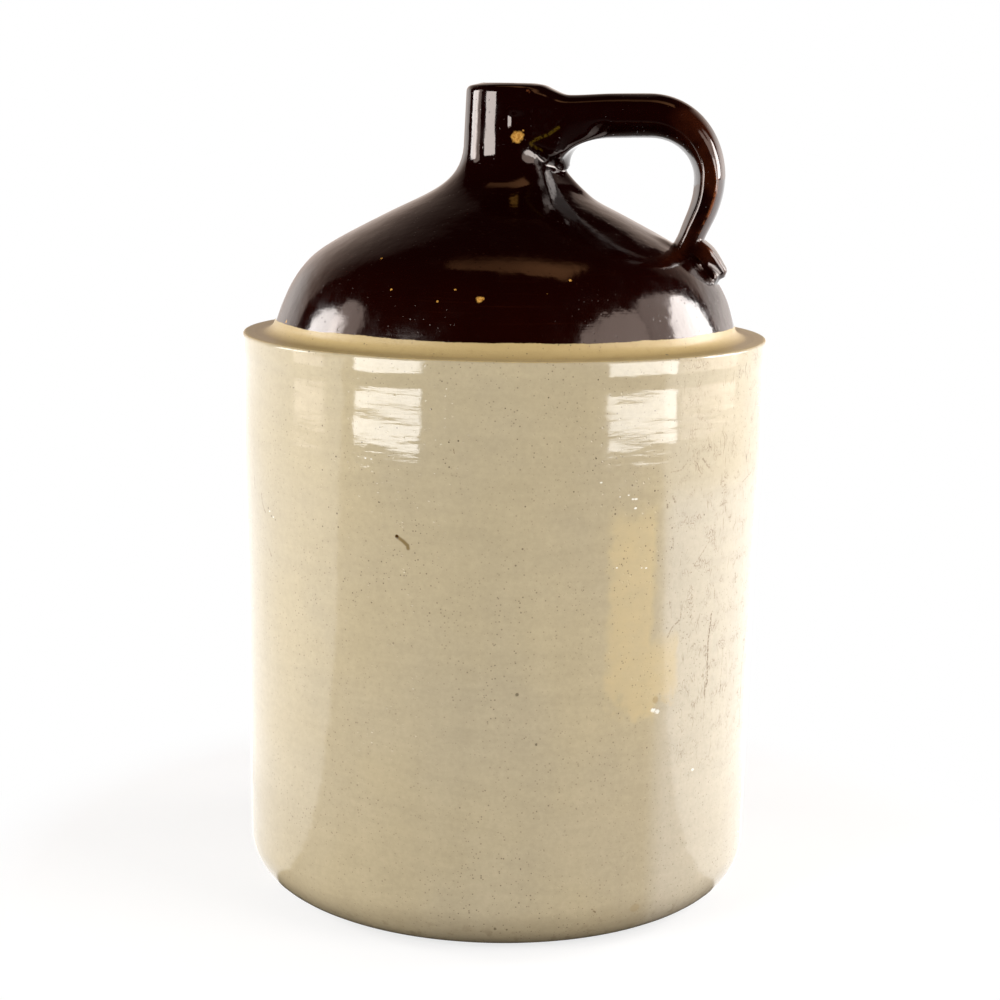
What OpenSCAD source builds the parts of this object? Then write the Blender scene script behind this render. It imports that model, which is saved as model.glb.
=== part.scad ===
// Two-tone stoneware jug: a straight crock with a bare ledge, a domed shoulder,
// a short neck with a plain throat, and one strap handle from neck to shoulder.
// Sizes are in millimetres. The origin is the middle of the base, +Z is up, and
// the handle stands out along +X. Heights above the ledge are marked as such.

/* [Crock] */
// Height of the ledge above the table
ledge_h = 318; // [270:1:360]
// Diameter of the collar, the widest part of the jug
collar_d = 297; // [288:1:316]
// How far the collar stands proud of the wall below it
collar_proud = 0.6; // [0.4:0.1:2.5]
// Height of the collar's upright band
collar_h = 7.5; // [4:0.5:12]
// Height over which the collar eases into the wall
collar_ease = 7; // [3:0.5:12]
// How much the wall's radius shrinks on its way down
wall_taper = 2.8; // [0:0.2:6]
// How far the wall swells out where it is fullest
wall_swell = 1.1; // [0:0.1:2.5]
// Depth of that fullest place below the ledge
swell_drop = 66; // [45:1:90]
// Distance below it at which the swelling has faded
swell_reach = 70; // [40:1:120]
// Radius of the rounded lower edge
base_round = 27; // [16:1:40]
// Thickness of the wall and of the shoulder
wall = 10; // [7:0.5:12]
// Thickness of the floor
floor_t = 12; // [9:0.5:18]

/* [Ledge] */
// Width of the flat bare ring, from the collar inward
ledge_w = 10.7; // [7:0.1:15]
// Rounding of the ring's outer edge
ledge_round = 1.8; // [0.5:0.1:3]
// Radius of the fillet that rises from the ring to the shoulder
ledge_fillet = 7.6; // [4:0.2:10]

/* [Shoulder] */
// Lean of the shoulder at its foot, in degrees from upright
foot_lean = 20; // [12:1:28]
// How long the shoulder keeps that lean before it turns in
foot_pull = 40; // [30:1:48]
// Radius of the point where the shoulder turns from full to hollow
flank_r = 69; // [62:1:76]
// Height of that point above the ledge
flank_up = 65.6; // [60:0.2:72]
// Slope at that point, in degrees from level
flank_slope = 27.5; // [23:0.5:32]
// How long the slope runs straight below that point
flank_low_pull = 44; // [36:1:50]
// How long the slope runs straight above that point
flank_high_pull = 28.8; // [22:0.4:33]

/* [Neck] */
// Height of the lip above the ledge
lip_up = 139.2; // [130:0.2:155]
// Diameter of the neck just below the lip
neck_d = 46.8; // [44:0.2:54]
// Diameter of the neck where it leaves the shoulder
neck_foot_d = 49; // [46:0.2:56]
// Height above the ledge where the neck becomes straight
neck_foot_up = 107; // [102:1:112]
// How far down the neck's hollow curve stays close to upright
neck_pull = 24; // [18:1:28]
// Rounding of the lip's outer edge
lip_round = 3.4; // [2:0.2:5]
// How far the top of the lip falls from the throat to that rounding
lip_crown = 1.4; // [0.4:0.1:2]
// Diameter of the throat that takes the cork
bore_d = 26; // [22:0.5:29]
// Length of the throat's straight stretch
bore_len = 45; // [30:1:52]
// Rounding of the throat's upper edge
bore_round = 1.5; // [0.5:0.1:2]

/* [Handle] */
// How far the middle of the handle's top stretch lies below the lip
bar_drop = 17; // [15:0.2:22]
// Thickness of the handle along its top stretch
bar_t = 23.2; // [18:0.2:25]
// Width of the handle along its top stretch
bar_w = 33; // [26:0.5:36]
// Radius where the top stretch begins to bend down
bend_r = 80; // [70:1:88]
// Radius of the middle of the upright side
side_r = 114; // [108:0.5:118]
// Height of the middle of the upright side above the ledge
side_up = 88; // [82:0.5:94]
// Thickness of the handle at its upright side
side_t = 16.4; // [14:0.2:20]
// Width of the handle at its upright side
side_w = 30; // [24:0.5:34]
// Depth of the bevels along the handle's outer edges
bevel_out = 5; // [2:0.2:7]
// Depth of the bevels along the handle's inner edges
bevel_in = 6.4; // [2:0.2:8]
// Share of the handle's width that its flat faces keep
face_share = 0.5; // [0.35:0.05:0.7]
// How softly the edges between the flats are rounded
edge_soft = 2.4; // [1:0.2:3]

/* [Handle root] */
// How far along the handle the web under its root reaches
web_len = 29; // [16:0.5:32]
// How far down the web reaches below the handle
web_drop = 17; // [10:0.5:20]
// Distance from the neck at which that web stands upright
web_gap = 7.5; // [4:0.5:9]
// Half the width of the root where it wraps the neck
root_half = 20.6; // [17:0.2:21.5]
// Depth of the bevels under the root
root_bevel = 20; // [8:1:24]

/* [Handle foot] */
// Radius of the middle of the pinched foot
pinch_r = 105; // [100:0.2:110]
// Height of the pinch above the shoulder's surface
pinch_up = 11; // [8:0.5:14]
// Lean of the handle at the pinch, in degrees from upright
pinch_lean = 20; // [10:1:28]
// Thickness of the handle at the pinch
pinch_t = 13.4; // [10:0.2:15]
// Width of the handle at the pinch
pinch_w = 25; // [20:0.5:30]
// How much wider and thicker the foot is where it enters the shoulder
foot_spread = 5; // [2:0.5:10]
// Width of the tail that is pressed onto the shoulder
tail_w = 25; // [18:0.5:30]
// Reach of the tail beyond the pinch, measured as radius
tail_reach = 12.2; // [8:0.2:14]
// Thickness of the tail next to the fold
tail_t = 11.8; // [9:0.2:14]
// Thickness of the tail at its square end
tail_end_t = 9.4; // [6:0.2:12]
// Rounding of the tail's edges
tail_round = 3; // [1.5:0.5:3.5]

/* [Hidden] */
$fn = 128;

CREAM = "#cdbf9c";
BROWN = "#2a0f06";

lip_h = ledge_h + lip_up;
collar_r = collar_d / 2;
wall_top_r = collar_r - collar_proud;
wall_foot_r = wall_top_r - wall_taper;
wall_top_h = ledge_h - collar_h - collar_ease;
swell_h = ledge_h - swell_drop;
ring_in_r = collar_r - ledge_w;
neck_r = neck_d / 2;
neck_foot_r = neck_foot_d / 2;
bore_r = bore_d / 2;
throat_h = lip_h - bore_len;
bar_h = lip_h - bar_drop;
web_r0 = neck_r + web_gap;
overlap = 1;

// Points of a cubic curve and its direction
function bez(p, t) = pow(1 - t, 3) * p[0] + 3 * pow(1 - t, 2) * t * p[1]
    + 3 * (1 - t) * t * t * p[2] + t * t * t * p[3];
function bez_way(p, t) = pow(1 - t, 2) * (p[1] - p[0]) + 2 * (1 - t) * t * (p[2] - p[1])
    + t * t * (p[3] - p[2]);
function unit(v) = v / norm(v);
function curve(p, n) = [for (i = [1:n]) bez(p, i / n)];
function inside(p, n, d) = [for (i = [0:n])
    let (w = unit(bez_way(p, i / n))) bez(p, i / n) + d * [-w.y, w.x]];
function arc(c, r, a, b, n) = [for (i = [0:n])
    let (t = a + (b - a) * i / n) c + r * [cos(t), sin(t)]];
function mix(a, b, t) = a + (b - a) * t;
// Goes from 0 to 1 with a soft start and end while x goes from a to b
function ease(a, b, x) = let (t = min(1, max(0, (x - a) / (b - a)))) t * t * (3 - 2 * t);

// Outline of the jug's outside as [radius, height], in stretches from the base up
lean = [-sin(foot_lean), cos(foot_lean)];
slope = [-cos(flank_slope), sin(flank_slope)];
foot_pt = [ring_in_r - ledge_fillet * cos(foot_lean),
    ledge_h + ledge_fillet * (1 - sin(foot_lean))];
flank_pt = [flank_r, ledge_h + flank_up];
neck_pt = [neck_foot_r, ledge_h + neck_foot_up];
shoulder_low = [foot_pt, foot_pt + foot_pull * lean, flank_pt - flank_low_pull * slope, flank_pt];
shoulder_high = [flank_pt, flank_pt + flank_high_pull * slope, neck_pt - [0, neck_pull], neck_pt];
shoulder_line = concat([foot_pt], curve(shoulder_low, 14), curve(shoulder_high, 12));

function swell(h) = wall_swell
    * ease(h > swell_h ? swell_drop - collar_h : swell_reach, 0, abs(h - swell_h));
wall_line = [for (i = [1:15]) let (h = mix(base_round, wall_top_h, i / 16))
    [mix(wall_foot_r, wall_top_r, i / 16) + swell(h), h]];
collar_line = [for (i = [0:6]) let (h = wall_top_h + collar_ease * i / 6)
    [wall_top_r + collar_proud * ease(0, 6, i) + swell(h), h]];
crock_line = concat(
    arc([wall_foot_r - base_round, base_round], base_round, -90, 0, 10),
    wall_line,
    collar_line,
    arc([collar_r - ledge_round, ledge_h - ledge_round], ledge_round, 0, 90, 4),
    arc([ring_in_r, ledge_h + ledge_fillet], ledge_fillet, 270, 180 + foot_lean, 6));

crown_in = bore_r + bore_round;
crown_slope = atan(lip_crown / (neck_r - lip_round - crown_in));
lip_line = arc([neck_r - lip_round, lip_h - lip_crown - lip_round], lip_round,
    0, 90 - crown_slope, 5);

// Outline of the hollow, from the floor up to the throat
hollow_foot_r = wall_foot_r - wall;
hollow_round = base_round - wall;
hollow_turn = 26;
hollow_low = inside(shoulder_low, 14, wall);
hollow_start = [wall_top_r - wall, ledge_h - hollow_turn];
hollow_corner = [hollow_start, hollow_start + [0, hollow_turn / 2],
    hollow_low[0] - hollow_turn / 3 * lean, hollow_low[0]];
hollow_flank = hollow_low[14];
hollow_neck = [hollow_flank, hollow_flank + flank_high_pull * slope,
    [bore_r, throat_h - neck_pull], [bore_r, throat_h]];

module crock_form()
{
    color(CREAM)
        rotate_extrude()
            polygon(concat([[0, 0]], crock_line, [[0, foot_pt.y]]));
}

module shoulder_form()
{
    color(BROWN)
        rotate_extrude()
            polygon(concat([[0, foot_pt.y]], shoulder_line, lip_line,
                [[crown_in, lip_h], [0, lip_h]]));
}

// The hollow and the throat, with the throat's upper edge rounded over
module hollow()
{
    rotate_extrude()
        polygon(concat(
            [[0, floor_t]],
            arc([hollow_foot_r - hollow_round, floor_t + hollow_round], hollow_round, -90, 0, 6),
            [hollow_start],
            curve(hollow_corner, 6),
            [for (i = [1:14]) hollow_low[i]],
            curve(hollow_neck, 12),
            arc([crown_in, lip_h - bore_round], bore_round, 180, 90, 4),
            [[crown_in, lip_h + overlap], [0, lip_h + overlap]]));
}

// Height of the shoulder's surface at a radius, and a point that far above it
shoulder_table = [for (p = shoulder_line) [p.x, p.y]];
function shoulder_h(r) = lookup(r, shoulder_table);
function on_shoulder(r, up) =
    [r, shoulder_h(r)] + up * unit([shoulder_h(r - 1) - shoulder_h(r + 1), 2]);

// The handle's middle line: along the top, round the bend, down the side
pinch_way = [-sin(pinch_lean), -cos(pinch_lean)];
pinch_pt = [pinch_r, shoulder_h(pinch_r) + pinch_up];
bend_pt = [bend_r, bar_h + 0.5];
side_pt = [side_r, ledge_h + side_up];
bend_pull = [0.6 * (side_r - bend_r), 0.52 * (bend_pt.y - side_pt.y)];
bend_path = [bend_pt, bend_pt + [bend_pull.x, 0], side_pt + [0, bend_pull.y], side_pt];
side_path = [side_pt, side_pt - [0, 14], pinch_pt - 12 * pinch_way, pinch_pt];

// Heights and half width of the root between the bar and the neck's middle
bar_end_r = web_r0 + web_len;
function root_top(x) = bar_h + bar_t / 2
    + (lip_h - lip_crown - 0.2 - bar_h - bar_t / 2) * ease(web_r0 + 4, neck_r - 5, x);
function root_low(x) = x < web_r0
    ? shoulder_h(web_r0) - 4
    : bar_h - bar_t / 2 - web_drop * (1 - sqrt(max(0, 1 - pow(max(0, bar_end_r - x) / web_len, 2))));
function root_wide(x) = mix(bar_w / 2, root_half, ease(web_r0 + 12, neck_r / 2, x));
function root_edge(x) = mix(bevel_in, root_bevel, ease(web_r0 + 15, web_r0 - 6, x));

// Each station of the handle: middle, direction, rise, drop, half width, inner bevel
function station(c, way, up, low, half, edge) = [c, way, up, low, half, edge];
function root_station(x) = station([x, bar_h], [1, 0],
    root_top(x) - bar_h, bar_h - root_low(x), root_wide(x), root_edge(x));
function path_station(p, t, thick, wide) = station(bez(p, t), unit(bez_way(p, t)),
    thick / 2, thick / 2, wide / 2, bevel_in * thick / bar_t);
function foot_station(d, spread) = station(pinch_pt + d * pinch_way, pinch_way,
    (pinch_t + spread) / 2, (pinch_t + spread) / 2, (pinch_w + spread) / 2,
    bevel_in * pinch_t / bar_t);
root_steps = concat([2, neck_r / 2, neck_r - 5, neck_r - 1.5, neck_r + 2, neck_r + 4.5, web_r0 - 0.5],
    [for (i = [0:7]) web_r0 + web_len * (1 - cos(90 * i / 7))]);
stations = concat(
    [for (x = root_steps) root_station(x)],
    [for (i = [0:14]) path_station(bend_path, i / 14, mix(bar_t, side_t, ease(0, 14, i)),
        mix(bar_w, side_w, i / 14))],
    [for (i = [1:9]) path_station(side_path, i / 9, mix(side_t, pinch_t, i / 9),
        mix(side_w, pinch_w, i / 9))],
    [foot_station(5, foot_spread * 0.2), foot_station(9, foot_spread * 0.6),
        foot_station(15, foot_spread)]);

// The strap's section as [across, outward]: eight flats with their edges softened
function strap(up, low, half, edge) = let (f = half * face_share) [
    [f, up], [half, up - bevel_out * min(1, half / up)], [half, edge - low], [f, -low],
    [-f, -low], [-half, edge - low], [-half, up - bevel_out * min(1, half / up)], [-f, up]];
function soften(s, c) = [for (i = [0:len(s) - 1]) each
    let (p = s[i], a = s[(i + len(s) - 1) % len(s)], b = s[(i + 1) % len(s)],
        q = p + c * unit(a - p), r = p + c * unit(b - p)) [q, (q + 2 * p + r) / 4, r]];
function ring(st) = [for (s = soften(strap(st[2], st[3], st[4], st[5]), min(edge_soft, st[5] / 2.2)))
    [st[0].x - s.y * st[1].y, s.x, st[0].y + s.y * st[1].x]];

// The strap handle as one loft through all its stations
module strap_form()
{
    rings = [for (st = stations) ring(st)];
    n = len(rings[0]);
    m = len(rings);
    sides = [for (i = [0:m - 2], j = [0:n - 1]) each
        let (k = (j + 1) % n, a = i * n + j, b = i * n + k) [[a, b, a + n], [b, b + n, a + n]]];
    polyhedron([for (r = rings) each r], concat(sides,
        [[for (j = [n - 1:-1:0]) j], [for (j = [0:n - 1]) (m - 1) * n + j]]));
}

// The end of the strap, folded outward and pressed onto the shoulder
module tail_form()
{
    side = tail_w / 2 - tail_round;
    marks = [
        on_shoulder(pinch_r - 3, -4),
        on_shoulder(pinch_r - 1, tail_t - tail_round - 2),
        on_shoulder(pinch_r + tail_reach * 0.36, tail_t - tail_round),
        on_shoulder(pinch_r + tail_reach * 0.8, tail_end_t - tail_round),
        on_shoulder(pinch_r + tail_reach, tail_end_t / 2 - 1),
        on_shoulder(pinch_r + tail_reach, -4)];
    hull()
        for (p = marks, y = [-side, side])
            translate([p.x, y, p.y])
                sphere(tail_round, $fn = 20);
}

module handle_form()
{
    color(BROWN) {
        strap_form();
        tail_form();
    }
}

module jug()
{
    difference() {
        union() {
            crock_form();
            shoulder_form();
            handle_form();
        }
        hollow();
    }
}

jug();
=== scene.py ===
"""Dresses the two-tone stoneware jug: one glazed mesh, its studio and its camera."""
import math

import bpy
import numpy as np
from mathutils import Matrix, Vector

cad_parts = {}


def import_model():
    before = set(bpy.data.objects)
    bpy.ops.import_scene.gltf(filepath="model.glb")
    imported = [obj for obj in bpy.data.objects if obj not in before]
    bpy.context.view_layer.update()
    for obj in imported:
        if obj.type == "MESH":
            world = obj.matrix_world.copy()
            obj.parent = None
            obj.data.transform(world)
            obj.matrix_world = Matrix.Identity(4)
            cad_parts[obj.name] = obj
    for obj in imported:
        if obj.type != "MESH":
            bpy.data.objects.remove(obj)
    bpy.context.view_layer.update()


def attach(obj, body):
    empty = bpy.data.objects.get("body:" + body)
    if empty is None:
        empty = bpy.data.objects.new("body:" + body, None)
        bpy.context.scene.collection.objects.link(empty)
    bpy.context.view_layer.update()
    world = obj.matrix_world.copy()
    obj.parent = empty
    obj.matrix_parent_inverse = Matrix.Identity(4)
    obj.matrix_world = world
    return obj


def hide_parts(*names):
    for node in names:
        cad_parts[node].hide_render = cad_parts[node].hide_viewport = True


# Sizes in millimetres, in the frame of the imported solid
MM = 0.001
LEDGE_H = 318.0
COLLAR_R = 148.4
COLLAR_PROUD = 0.8
COLLAR_H = 7.5
COLLAR_EASE = 9.0
WALL_TAPER = 2.8
WALL_SWELL = 1.1
SWELL_DROP, SWELL_REACH = 66.0, 70.0
BASE_ROUND = 27.0
WALL = 10.0
FLOOR_T = 12.0
LEDGE_W = 10.7
LEDGE_ROUND = 1.8
LEDGE_FILLET = 7.6
FOOT_LEAN = math.radians(20)
FOOT_PULL = 40.0
FLANK_R = 69.0
FLANK_UP = 65.6
FLANK_SLOPE = math.radians(27.5)
FLANK_LOW_PULL = 44.0
FLANK_HIGH_PULL = 28.8
LIP_UP = 139.2
NECK_R = 23.4
NECK_FOOT_R = 24.5
NECK_FOOT_UP = 107.0
NECK_PULL = 24.0
LIP_ROUND = 3.4
LIP_CROWN = 1.4
BORE_R = 13.0
BORE_LEN = 45.0
BORE_ROUND = 1.5

# The handle, from its root on the neck to its tail on the shoulder
BAR_DROP = 17.0
BAR_T, BAR_W = 23.2, 33.0
BAR_SAG, BAR_HUMP = 1.0, 0.5
BEND_R = 80.0
BEND_PULL = (0.6, 0.52)
SIDE_R, SIDE_UP = 114.0, 88.0
SIDE_T, SIDE_W = 16.4, 30.0
SIDE_PULL, PINCH_PULL = 14.0, 12.0
KEEL_SHARE = 0.14
WEB_LEN, WEB_DROP, WEB_GAP = 29.0, 17.0, 7.5
ROOT_HALF = 23.4
ROOT_LEN = 46.0
ROOT_FLARE = 1.2
ROOT_RISE = 4.9
ROOT_FROM = 2.0
ROOT_ZONE = 60.0
PAD_UP, PAD_OUT, PAD_BACK, PAD_TURN = 95.5, 0.25, 0.45, 27.0
PAD_FROM, PAD_BEVEL, PAD_KEEL = 25.0, 4.0, 0.7
KEEL_SOFT, ROOT_KEEL_SOFT = 6.0, 3.0
WEB_FROM = 44.0
PINCH_R, PINCH_UP = 105.0, 11.0
PINCH_LEAN = math.radians(20)
PINCH_T, PINCH_W = 13.4, 25.0
FOOT_SPREAD = 2.0
TAIL_HALF = 12.5
TAIL_REACH = 18.4
TAIL_T, TAIL_END_T = 11.6, 8.9
TAIL_SOFT = 2.6
TAIL_STEP = 3.4
TAIL_TAPER, TAIL_LEAN, TAIL_NOSE = 0.55, 0.22, 0.12
FILL_BACK, FILL_IN, FILL_SOFT = 0.6, 1.2, 1.5
TAIL_FILLET, FOOT_FILLET, ROOT_FILLET = 1.2, 1.6, 2.4

# Depth of the strap's outer and inner bevels, how soft its ridges are, and the outer face's share of
# the width, at stations along it: 0 is the bar, 1 the start of the bend, 2 the side, 3 the pinch
STATIONS = (0, 1, 1.5, 2, 3)
BEVELS_OUT = (5.4, 5.8, 5.0, 3.2, 3.4)
BEVELS_IN = (9.3, 9.0, 8.0, 7.0, 5.2)
RIDGES = (2.6, 4.0, 6.0, 1.3, 1.4)
FACE_SHARES = (0.5, 0.4, 0.3, 0.3, 0.5)
# Extra clay on the strap's outer and inner faces, which its soft ridges wear down
FACE_GROW, KEEL_GROW = 0.3, 0.8

# Small swellings and dents of the clay: place from the ledge, size and height
MOUNDS = (
    (92.0, -8.0, 52.0, 5.0, 1.2),
    (103.0, -19.5, 43.0, 2.6, 1.1),
    (5.7, -23.4, 117.8, 3.0, -1.1),
    (12.5, -21.0, 133.0, 3.0, -0.5),
    (32.0, 6.0, 92.0, 6.5, 3.4),
    (39.0, 5.0, 82.0, 7.0, 2.4),
    (125.0, 0.0, 25.0, 14.0, 1.8),
)

LIP_H = LEDGE_H + LIP_UP
BAR_H = LIP_H - BAR_DROP
WALL_TOP_R = COLLAR_R - COLLAR_PROUD
WALL_FOOT_R = WALL_TOP_R - WALL_TAPER
RING_IN_R = COLLAR_R - LEDGE_W
WEB_END = NECK_R + WEB_GAP + WEB_LEN

# The mesh: columns round the jug, and the square of faces that each end of the handle replaces
COLUMNS = 224
HALF_PATCH = 9
PATCH_ROWS = 18
LIP_ROWS = 5
RING = 4 * PATCH_ROWS
NECK_SPAN = 24.0
FOOT_SPAN = 14.5
# Radii where the foot's square begins and ends and where the neck's begins
PATCH_RADII = (121.0, 94.0, 28.8)
# Radii of the discs that close the base and the hollow's floor
HUB_R, HOLLOW_HUB_R = 8.0, 10.0
# Steps of the strap's middle line, and the rings that join the strap to the two squares
BAR_STEPS, BEND_STEPS, SIDE_STEPS, PINCH_STEPS = 80, 60, 60, 9
RINGS_FROM = 48.0
ROOT_RINGS, FOOT_RINGS = 14, 20
FOOT_BULGE = 9.0
# The points of a ring, counted from its top, where the strap's four edges lie
EDGE_POINTS = (7, 13, 21, 33)
# How often the mesh is evened out in the end, and while working, and how far each time
ROUNDS, QUICK_ROUNDS, SETTLE_SHARE = 36, 10, 0.6


def ease(a, b, x):
    """0 to 1 with a soft start and end while x goes from a to b."""
    t = np.clip((x - a) / (b - a), 0, 1)
    return t * t * (3 - 2 * t)


def mix(a, b, t):
    return a + (b - a) * t


def curve(p, n):
    """n + 1 points of a cubic curve."""
    t = np.linspace(0, 1, n + 1)[:, None]
    p = [np.array(q, float) for q in p]
    return ((1 - t) ** 3 * p[0] + 3 * (1 - t) ** 2 * t * p[1]
            + 3 * (1 - t) * t * t * p[2] + t ** 3 * p[3])


def arc(centre, radius, a, b, n):
    """n + 1 points of an arc, with its angles in degrees."""
    t = np.radians(np.linspace(a, b, n + 1))
    return np.array(centre) + radius * np.stack([np.cos(t), np.sin(t)], 1)


def lengths(line):
    """The length along the line at each of its points."""
    return np.concatenate([[0], np.cumsum(np.linalg.norm(np.diff(line, axis=0), axis=1))])


def spaced(line, count):
    """The line again as count + 1 points at even distances."""
    s = lengths(line)
    t = np.linspace(0, s[-1], count + 1)
    return np.stack([np.interp(t, s, line[:, k]) for k in range(line.shape[1])], 1)


def stretch(line, step):
    """The line again, as points about a step apart."""
    return spaced(line, max(1, int(round(lengths(line)[-1] / step))))


def inside(line, depth):
    """The line moved inward by the wall's thickness."""
    way = np.gradient(line, axis=0)
    way /= np.linalg.norm(way, axis=1)[:, None]
    return line + depth * np.stack([-way[:, 1], way[:, 0]], 1)


def shoulder_lines():
    """The shoulder's full lower curve and its hollow upper curve."""
    lean = np.array([-math.sin(FOOT_LEAN), math.cos(FOOT_LEAN)])
    slope = np.array([-math.cos(FLANK_SLOPE), math.sin(FLANK_SLOPE)])
    foot = np.array([RING_IN_R - LEDGE_FILLET * math.cos(FOOT_LEAN),
                     LEDGE_H + LEDGE_FILLET * (1 - math.sin(FOOT_LEAN))])
    flank = np.array([FLANK_R, LEDGE_H + FLANK_UP])
    neck = np.array([NECK_FOOT_R, LEDGE_H + NECK_FOOT_UP])
    low = curve([foot, foot + FOOT_PULL * lean, flank - FLANK_LOW_PULL * slope, flank], 200)
    high = curve([flank, flank + FLANK_HIGH_PULL * slope, neck - [0, NECK_PULL], neck], 200)
    return low, high, slope, lean


def swell(h):
    """How far the wall bellies out below the collar."""
    reach = np.where(h > LEDGE_H - SWELL_DROP, SWELL_DROP - COLLAR_H, SWELL_REACH)
    return WALL_SWELL * ease(1, 0, np.abs(h - LEDGE_H + SWELL_DROP) / reach)


def outer_rows():
    """Outline of the outside as [radius, height] rows, with the marks where patches begin."""
    low, high, _, _ = shoulder_lines()
    crown_in = BORE_R + BORE_ROUND
    crown_angle = math.degrees(math.atan(LIP_CROWN / (NECK_R - LIP_ROUND - crown_in)))
    lip = arc([NECK_R - LIP_ROUND, LIP_H - LIP_CROWN - LIP_ROUND], LIP_ROUND, 0, 90 - crown_angle, 24)
    body = np.vstack([low, high[1:]])
    cut = [np.searchsorted(-body[:, 0], -r) for r in PATCH_RADII]
    neck = np.vstack([body[cut[2]:], lip[:1]])
    easing = np.linspace(0, 1, 9)
    collar = np.stack([WALL_TOP_R + COLLAR_PROUD * ease(0, 1, easing),
                       LEDGE_H - COLLAR_H - COLLAR_EASE * (1 - easing)], 1)
    base_r = WALL_FOOT_R - BASE_ROUND
    wall = stretch(np.array([[WALL_FOOT_R, BASE_ROUND], collar[0]]), 5.0)
    for line in (wall, collar):
        line[:, 0] += swell(line[:, 1])
    parts = [
        np.stack([np.linspace(HUB_R, base_r, 12), np.zeros(12)], 1),
        arc([base_r, BASE_ROUND], BASE_ROUND, -90, 0, 14),
        wall,
        collar,
        np.array([[COLLAR_R, LEDGE_H - COLLAR_H * 0.6], [COLLAR_R, LEDGE_H - LEDGE_ROUND]]),
        arc([COLLAR_R - LEDGE_ROUND, LEDGE_H - LEDGE_ROUND], LEDGE_ROUND, 0, 90, 5),
        stretch(np.array([[COLLAR_R - LEDGE_ROUND, LEDGE_H], [RING_IN_R, LEDGE_H]]), 1.5),
        arc([RING_IN_R, LEDGE_H + LEDGE_FILLET], LEDGE_FILLET, 270, 180 + math.degrees(FOOT_LEAN), 7),
        stretch(body[:cut[0] + 1], 1.8),
        "foot_low",
        spaced(body[cut[0]:cut[1] + 1], PATCH_ROWS),
        "foot_top",
        stretch(body[cut[1]:cut[2] + 1], 2.2),
        "neck_low",
        spaced(neck, PATCH_ROWS - LIP_ROWS),
        spaced(lip, LIP_ROWS),
        "neck_top",
        np.array([[crown_in, LIP_H]]),
        arc([crown_in, LIP_H - BORE_ROUND], BORE_ROUND, 90, 180, 4),
        np.array([[BORE_R, LIP_H - drop] for drop in (8, 20, 32)]),
    ]
    rows, marks = [], {}
    for part in parts:
        if isinstance(part, str):
            marks[part] = len(rows) - 1
            continue
        for p in part:
            if not rows or np.linalg.norm(p - rows[-1]) > 1e-6:
                rows.append(p)
    return np.array(rows), marks


def hollow_rows():
    """Outline of the hollow, from the throat down to the floor."""
    low, _, slope, lean = shoulder_lines()
    low_in = inside(low, WALL)
    throat = np.array([BORE_R, LIP_H - BORE_LEN])
    flank = low_in[-1]
    upper = curve([flank, flank + FLANK_HIGH_PULL * slope, throat - [0, NECK_PULL], throat], 60)
    turn = 26.0
    wall_top = np.array([WALL_TOP_R - WALL, LEDGE_H - turn])
    corner = curve([wall_top, wall_top + [0, turn / 2], low_in[0] - turn / 3 * lean, low_in[0]], 30)
    foot_r = WALL_FOOT_R - WALL
    curl = BASE_ROUND - WALL
    floor = arc([foot_r - curl, FLOOR_T + curl], curl, -90, 0, 6)
    line = [stretch(upper, 7)[::-1], stretch(low_in, 9)[::-1][1:], stretch(corner, 8)[::-1][1:],
            stretch(np.array([wall_top, [foot_r, FLOOR_T + curl]]), 24)[1:], floor[::-1][1:],
            np.stack([np.linspace(foot_r - curl, HOLLOW_HUB_R, 6), np.full(6, FLOOR_T)], 1)[1:]]
    return np.vstack(line)


def column_angles(rows, marks):
    """The angle of every column on every row: the patch columns stay as wide as the handle."""
    s = lengths(rows)
    places = [s[marks[name]] for name in ("foot_low", "foot_top", "neck_low", "neck_top")]
    span = np.interp(s, places, [FOOT_SPAN, FOOT_SPAN, NECK_SPAN * 0.94, NECK_SPAN])
    wide = span / np.maximum(rows[:, 0], 20.0)
    even = 2 * math.pi * HALF_PATCH / COLUMNS
    fold = marks["foot_low"]
    start = np.searchsorted(s, s[fold] - 34)
    wide = mix(even, wide, ease(start, fold, np.arange(len(rows))))
    wide[marks["neck_top"]:] = wide[marks["neck_top"]]
    w = np.arange(COLUMNS // 2 + 1) / (COLUMNS / 2)
    w0 = HALF_PATCH / (COLUMNS / 2)
    near = wide[:, None] / math.pi / w0
    fade = 0.085
    reach = fade * (1 - math.exp(-(1 - w0) / fade))
    far = (1 - near * w0 - near * reach) / (1 - w0 - reach)
    past = np.maximum(w - w0, 0)[None]
    g = near * np.minimum(w, w0)[None] + far * past + (near - far) * fade * (1 - np.exp(-past / fade))
    half = g * math.pi
    return np.concatenate([half[:, :-1], -half[:, :0:-1]], 1)


# The handle's middle line and section, station by station
def along_strap(values, t):
    """A value of the strap at a station, from its table."""
    return float(np.interp(t, STATIONS, values))


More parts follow.
